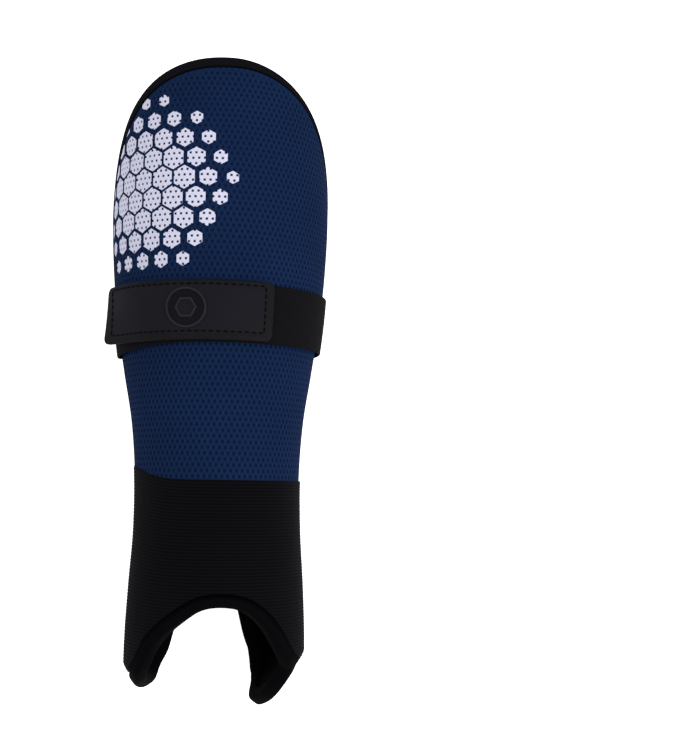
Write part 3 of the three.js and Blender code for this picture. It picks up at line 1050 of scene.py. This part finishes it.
def moulded_rubber(name, low, high, gloss=0.05):
    """Soft black rubber pressed in a fine-grained mould: satin, with a skin of tiny dimples."""
    material, flat = pattern_material(name, Specular_IOR_Level=gloss)
    dimples = add(material, "TexVoronoi", {}, {"Vector": flat, "Scale": 1 / DIMPLE})
    bloom = add(material, "TexNoise", {}, {"Vector": flat, "Scale": 1 / BLOOM, "Detail": 3})
    height = weighed(material, (dimples, 0.3), (bloom, 0.7))
    colour = add(
        material, "Mix", {"data_type": "RGBA"},
        {FACTOR: height, COLOUR_A: linear(low), COLOUR_B: linear(high)},
    )
    surface(material, colour, height, dullness=0.55, relief=0.04)
    return material


def twisted_thread():
    """Black polyester sewing thread: its plies wind round each stitch in slanting turns."""
    material, flat = pattern_material("twisted_thread", Specular_IOR_Level=0.05)
    plies = add(
        material, "TexWave", {"bands_direction": "DIAGONAL"},
        {"Vector": flat, "Scale": WAVE_LENGTH / THREAD_PLY},
    )
    colour = add(
        material, "Mix", {"data_type": "RGBA"},
        {FACTOR: plies, COLOUR_A: linear("#020203"), COLOUR_B: linear("#08080a")},
    )
    surface(material, colour, plies, dullness=0.7, relief=0.06)
    return material


def light_table():
    """A pale table that glows to the camera alone."""
    floor_mesh = bmesh.new()
    bmesh.ops.create_grid(floor_mesh, x_segments=1, y_segments=1, size=TABLE_HALF)
    data = bpy.data.meshes.new("floor")
    floor_mesh.to_mesh(data)
    floor_mesh.free()
    table = new_material(
        "pale_light_table", Base_Color=linear("#fafafa"), Roughness=0.9, Emission_Color=linear("#ffffff")
    )
    seen = add(table, "LightPath", {}, {})
    glow = add(table, "Math", {"operation": "MULTIPLY"}, {0: seen, 1: TABLE_GLOW})
    table.node_tree.links.new(glow, table.node_tree.nodes["Principled BSDF"].inputs["Emission Strength"])
    data.materials.append(table)
    floor = bpy.data.objects.new("floor", data)
    bpy.context.collection.objects.link(floor)


def room_light():
    """Even light from all round, which is white to the camera."""
    world = bpy.data.worlds.new("even_light")
    world.use_nodes = True
    background = world.node_tree.nodes["Background"]
    background.inputs["Color"].default_value = linear("#ffffff")
    seen = add(world, "LightPath", {}, {})
    strength = add(world, "MapRange", {}, {"Value": seen, "To Min": ROOM_LIGHT, "To Max": 1})
    world.node_tree.links.new(strength, background.inputs["Strength"])
    bpy.context.scene.world = world


def soft_boxes():
    """Large soft boxes turned towards the guard."""
    for name, place, size, power in SOFT_BOXES:
        light = bpy.data.lights.new(name, "AREA")
        light.size = size
        light.energy = power
        box = bpy.data.objects.new(name, light)
        box.location = place
        box.rotation_euler = Vector(place).to_track_quat("Z", "Y").to_euler()
        bpy.context.collection.objects.link(box)


def camera():
    """The camera above the guard, a little to its left and towards its foot."""
    data = bpy.data.cameras.new("camera")
    data.lens = CAMERA_LENS
    turns = [Matrix.Rotation(math.radians(turn), 4, axis) for turn, axis in zip(CAMERA_TURNS, "XYZ")]
    seat = Matrix.Translation(to_frame(Vector(CAMERA_PLACE)))
    holder = bpy.data.objects.new("camera", data)
    holder.matrix_world = seat @ turns[0] @ turns[1] @ turns[2]
    bpy.context.collection.objects.link(holder)
    bpy.context.scene.camera = holder


camera()
light_table()
room_light()
soft_boxes()
bpy.context.scene.view_settings.view_transform = "Standard"

lining_nylon = brushed_nylon()
cover = [printed_air_mesh(), open_foam(), lining_nylon]
binding_tape = knitted_tape("knitted_binding_tape", "#040405", "#1c1a20", TAPE_COURSE, TAPE_SEAM_SHADE)
hem_tape = knitted_tape("knitted_hem_tape", "#010101", "#0e0e12", HEM_COURSE, HEM_SEAM_SHADE)
rubber = [
    moulded_rubber("moulded_rubber", "#17161c", "#1d1c23"),
    # Darker rubber for the badge's sunk ring: painted shade.
    moulded_rubber("sunk_moulded_rubber_painted_shade", "#0d0d12", "#131319"),
    moulded_rubber("plain_moulded_rubber", "#151417", "#1b1a1d"),
    # Lighter rubber for the raised rims, glossier as rubbed rubber is; its lighter colour is a painted
    # highlight.
    moulded_rubber("rubbed_moulded_rubber_painted_highlight", "#1d1c22", "#26252b", gloss=0.14),
]
strap_elastic = ribbed_elastic(
    "woven_elastic", "#08080a", "#1a191d", STRAP_RIB_PITCH, STRAP_PICK, sheen=0.01
)
sleeve_elastic = ribbed_elastic(
    "ribbed_knit_elastic", "#030304", "#111015", SLEEVE_RIB_PITCH, SLEEVE_PICK, sheen=0.025
)

shell = make_piece("padded_shell", shin_shell(), cover, "shin_shell")
tape = make_piece("edge_tape", edge_tape(), [binding_tape], "edge_binding")
strap = make_piece("elastic_strap", calf_strap(), [strap_elastic], "calf_strap")
make_piece("rubber_tab", pull_tab(), rubber, "pull_tab")
make_piece("tab_stitching", tab_stitching(), [twisted_thread()])
sleeve = make_piece("ribbed_sleeve", ankle_sleeve(), [sleeve_elastic], "ankle_sleeve")
lining = make_piece("padded_lining", ankle_lining(), [lining_nylon], "ankle_lining")
hem = make_piece("rolled_hem", arch_hem(), [hem_tape], "arch_binding")

strap_cut = (STRAP_WIDTH * MM, ELASTIC_RELAXED * strap_length() * MM)
